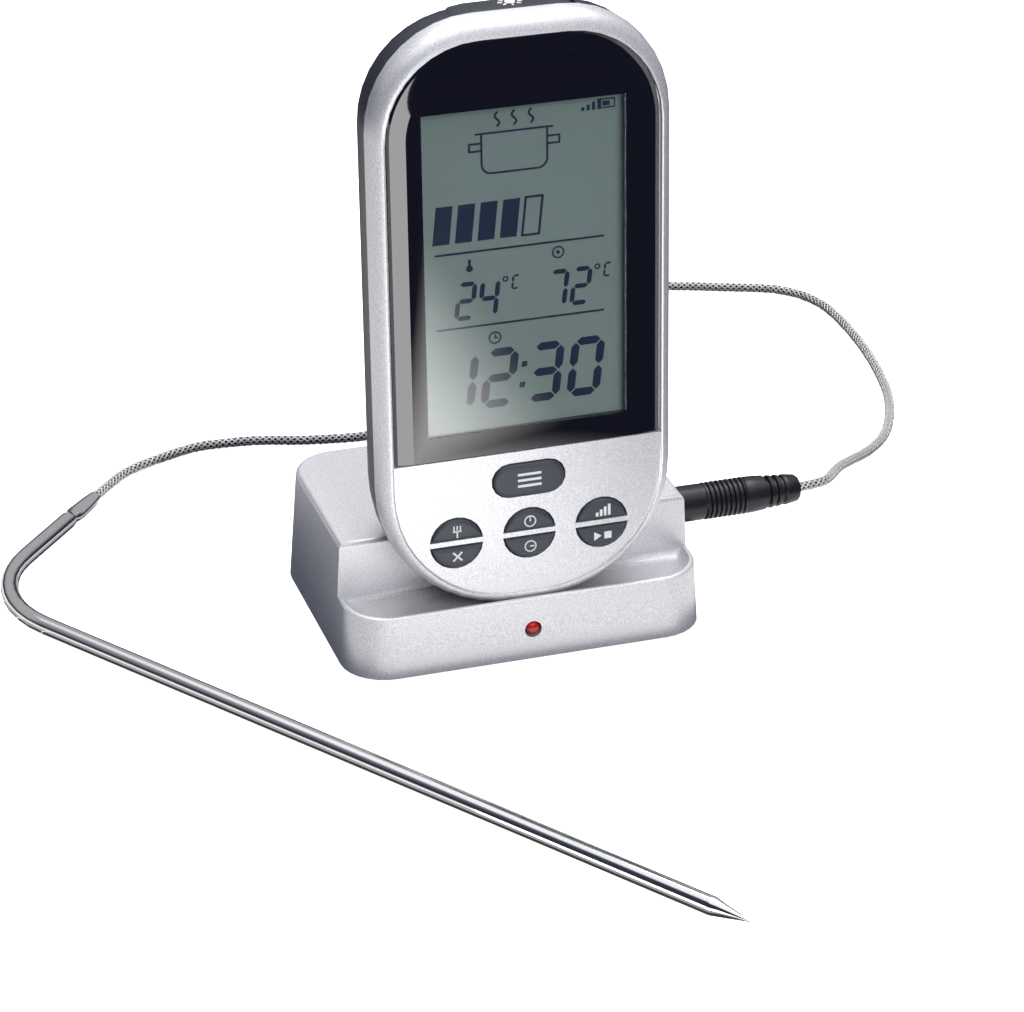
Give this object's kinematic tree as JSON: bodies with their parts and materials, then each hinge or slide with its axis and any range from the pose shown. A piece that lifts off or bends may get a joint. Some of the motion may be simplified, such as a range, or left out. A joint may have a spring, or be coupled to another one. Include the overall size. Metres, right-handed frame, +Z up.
{
  "type": "wireless meat thermometer",
  "caption": "Wireless meat thermometer: handheld display standing in a transmitter dock, with a bent steel probe on a braided plug-in lead.",
  "frame": {"origin": "middle of the dock's flat underside", "axes": "+Z up, +X to the right as the display is read, +Y to the back of the dock"},
  "size_m": [0.2326, 0.2913, 0.1424],
  "materials": {
    "silver_paint": "satin silver paint with a fine sparkle on moulded plastic",
    "charcoal_plastic": "fine-textured charcoal moulding",
    "black_window": "polished acrylic, black behind except over the display",
    "lcd_glass": "grey-green reflective LCD",
    "milky_acrylic": "milky light guide",
    "green_board": "solder-masked circuit board",
    "grey_key": "dark grey silicone keys",
    "silicone": "grey silicone",
    "black_moulding": "satin black moulding",
    "stainless_steel": "polished stainless steel",
    "steel_braid": "braided stainless wire over an insulated core",
    "plated_contact": "nickel-plated brass",
    "cell_jacket": "printed cell jacket left plain",
    "red_led": "clear red lens",
    "sensor_bead": "coated sensor bead"
  },
  "bodies": {
    "dock": {"dock_shell": "silver_paint", "dock_bottom_cover": "charcoal_plastic", "dock_cell_front": "cell_jacket", "dock_cell_rear": "cell_jacket", "dock_contact_minus": "plated_contact", "dock_contact_plus": "plated_contact", "dock_contact_bridge": "plated_contact", "dock_board": "green_board", "dock_antenna": "plated_contact", "status_led": "red_led", "power_switch_body": "black_moulding", "probe_socket": "black_moulding", "dock_screw_1": "stainless_steel", "dock_screw_2": "stainless_steel", "dock_screw_3": "stainless_steel", "dock_screw_4": "stainless_steel"},
    "receiver": {"receiver_front_shell": "silver_paint", "receiver_rear_shell": "charcoal_plastic", "display_window": "black_window", "lcd_panel": "lcd_glass", "lcd_light_guide": "milky_acrylic", "lower_contact_strip": "silicone", "upper_contact_strip": "silicone", "keypad_mat": "silicone", "light_switch": "black_moulding", "receiver_board": "green_board", "buzzer": "black_moulding", "receiver_antenna": "plated_contact", "receiver_cell_left": "cell_jacket", "receiver_cell_right": "cell_jacket", "receiver_contact_minus": "plated_contact", "receiver_contact_plus": "plated_contact", "receiver_contact_bridge": "plated_contact", "receiver_screw_1": "stainless_steel", "receiver_screw_2": "stainless_steel", "receiver_screw_3": "stainless_steel", "receiver_screw_4": "stainless_steel"},
    "mode_button": {"mode_button": "grey_key"},
    "food_button": {"food_button": "grey_key"},
    "clear_button": {"clear_button": "grey_key"},
    "minute_button": {"minute_button": "grey_key"},
    "second_button": {"second_button": "grey_key"},
    "doneness_button": {"doneness_button": "grey_key"},
    "start_stop_button": {"start_stop_button": "grey_key"},
    "light_button": {"light_button": "charcoal_plastic"},
    "receiver_battery_door": {"receiver_battery_door": "charcoal_plastic"},
    "dock_battery_door": {"dock_battery_door": "charcoal_plastic"},
    "power_switch_knob": {"power_switch_knob": "black_moulding"},
    "probe_lead": {"plug_body": "black_moulding", "plug_sleeve": "plated_contact", "plug_insulator": "black_moulding", "plug_tip": "plated_contact", "probe_cable": "steel_braid", "probe_tube": "stainless_steel", "sensor_bead": "sensor_bead", "sensor_lead": "plated_contact"}
  },
  "joints": [
    {"name": "receiver_lift", "type": "slide", "parent": "dock", "child": "receiver", "axis": [0, 0.0454, 0.999], "range_m": [0, 0.04]},
    {"name": "receiver_door_swing", "type": "hinge", "parent": "receiver", "child": "receiver_battery_door", "pos_m": [0, -0.00385, 0.05133], "axis": [-1, 0, 0], "range_deg": [0, 100]},
    {"name": "dock_door_swing", "type": "hinge", "parent": "dock", "child": "dock_battery_door", "pos_m": [0, 0.0031, 0], "axis": [-1, 0, 0], "range_deg": [0, 95]},
    {"name": "power_switch_slide", "type": "slide", "parent": "dock", "child": "power_switch_knob", "axis": [1, 0, 0], "range_m": [0, 0.003]},
    {"name": "plug_pull", "type": "slide", "parent": "dock", "child": "probe_lead", "axis": [1, 0, 0], "range_m": [0, 0.02]},
    {"name": "light_press", "type": "slide", "parent": "receiver", "child": "light_button", "axis": [0, -0.0454, -0.999], "range_m": [0, 0.0006], "stiffness_N_per_m": 1500},
    {"name": "mode_press", "type": "slide", "parent": "receiver", "child": "mode_button", "axis": [0, 0.999, -0.0454], "range_m": [0, 0.0008], "stiffness_N_per_m": 1200},
    {"name": "food_press", "type": "slide", "parent": "receiver", "child": "food_button", "axis": [0, 0.999, -0.0454], "range_m": [0, 0.0008], "stiffness_N_per_m": 1200},
    {"name": "clear_press", "type": "slide", "parent": "receiver", "child": "clear_button", "axis": [0, 0.999, -0.0454], "range_m": [0, 0.0008], "stiffness_N_per_m": 1200},
    {"name": "minute_press", "type": "slide", "parent": "receiver", "child": "minute_button", "axis": [0, 0.999, -0.0454], "range_m": [0, 0.0008], "stiffness_N_per_m": 1200},
    {"name": "second_press", "type": "slide", "parent": "receiver", "child": "second_button", "axis": [0, 0.999, -0.0454], "range_m": [0, 0.0008], "stiffness_N_per_m": 1200},
    {"name": "doneness_press", "type": "slide", "parent": "receiver", "child": "doneness_button", "axis": [0, 0.999, -0.0454], "range_m": [0, 0.0008], "stiffness_N_per_m": 1200},
    {"name": "start_stop_press", "type": "slide", "parent": "receiver", "child": "start_stop_button", "axis": [0, 0.999, -0.0454], "range_m": [0, 0.0008], "stiffness_N_per_m": 1200}
  ]
}
